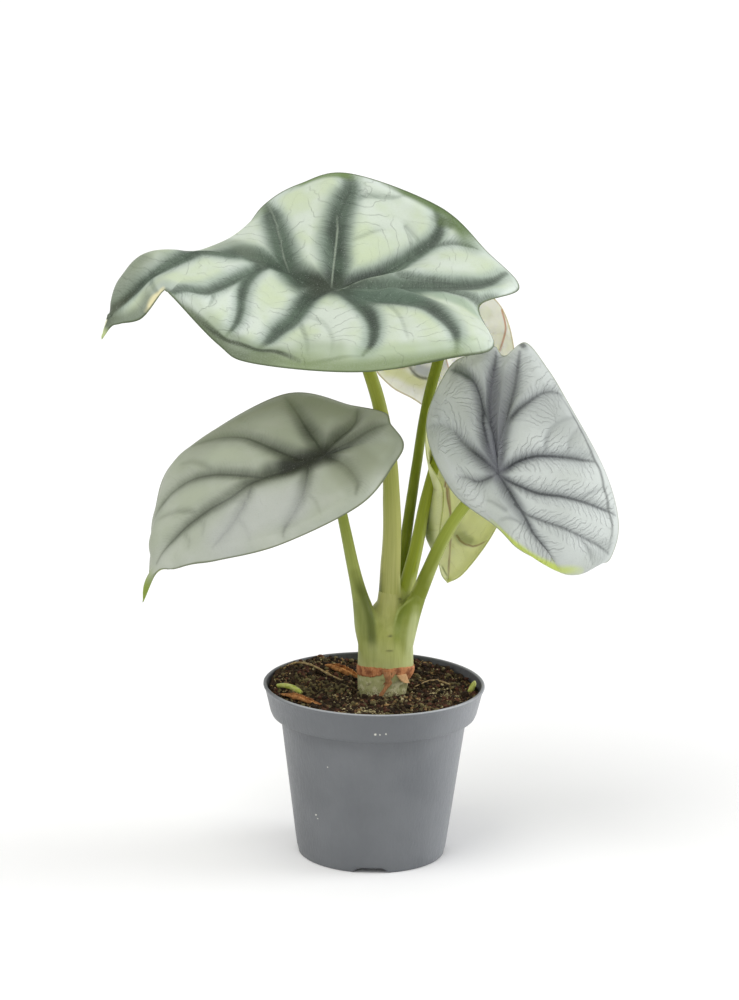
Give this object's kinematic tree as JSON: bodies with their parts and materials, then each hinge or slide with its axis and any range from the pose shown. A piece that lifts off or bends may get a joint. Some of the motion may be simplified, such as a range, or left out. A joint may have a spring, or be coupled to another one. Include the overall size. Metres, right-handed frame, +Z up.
{
  "type": "potted alocasia",
  "caption": "Silver-leaved alocasia with broad arrow-shaped leaves on slim stalks, growing in a round tapered nursery pot.",
  "frame": {"origin": "middle of the pot's foot, on the surface that the pot stands on", "axes": "+Z up along the pot's axis; -Y towards the viewer of the picture; +X to the viewer's right"},
  "size_m": [0.2748, 0.1667, 0.3633],
  "materials": {
    "pot_plastic": "satin grey moulded plastic, faint vertical streaks, dusty specks",
    "soil": "crumbly dark brown potting mix with pale granules",
    "stem": "smooth olive green stem, satin, with small brown dots",
    "dried_leaf_base": "dry, papery, orange brown and torn",
    "stalk": "smooth green leaf stalk, satin, finely grained along its length",
    "silver_leaf": "silvery green leathery blade, dark green bands along the veins, satin",
    "grey_leaf": "silvery grey leathery blade, dark grey bands along the veins, satin",
    "pale_leaf": "silvery green upper side and pale cream green underside, red brown veins",
    "green_shoot": "fresh yellow green cut shoot, satin",
    "root": "thin dry straw coloured root"
  },
  "bodies": {
    "root": {"pot": "pot_plastic", "soil": "soil", "stem": "stem", "dried_ring": "dried_leaf_base", "top_leaf_blade": "silver_leaf", "top_leaf_stalk": "stalk", "left_leaf_blade": "silver_leaf", "left_leaf_stalk": "stalk", "right_leaf_blade": "grey_leaf", "right_leaf_stalk": "stalk", "hanging_leaf_blade": "pale_leaf", "hanging_leaf_stalk": "stalk", "back_leaf_blade": "pale_leaf", "back_leaf_stalk": "stalk", "green_shoot_stub": "green_shoot", "yellow_shoot_stub": "green_shoot", "dried_sheath_front": "dried_leaf_base", "dried_sheath_back": "dried_leaf_base", "root_fibre_left": "root", "root_fibre_right": "root"}
  },
  "joints": []
}
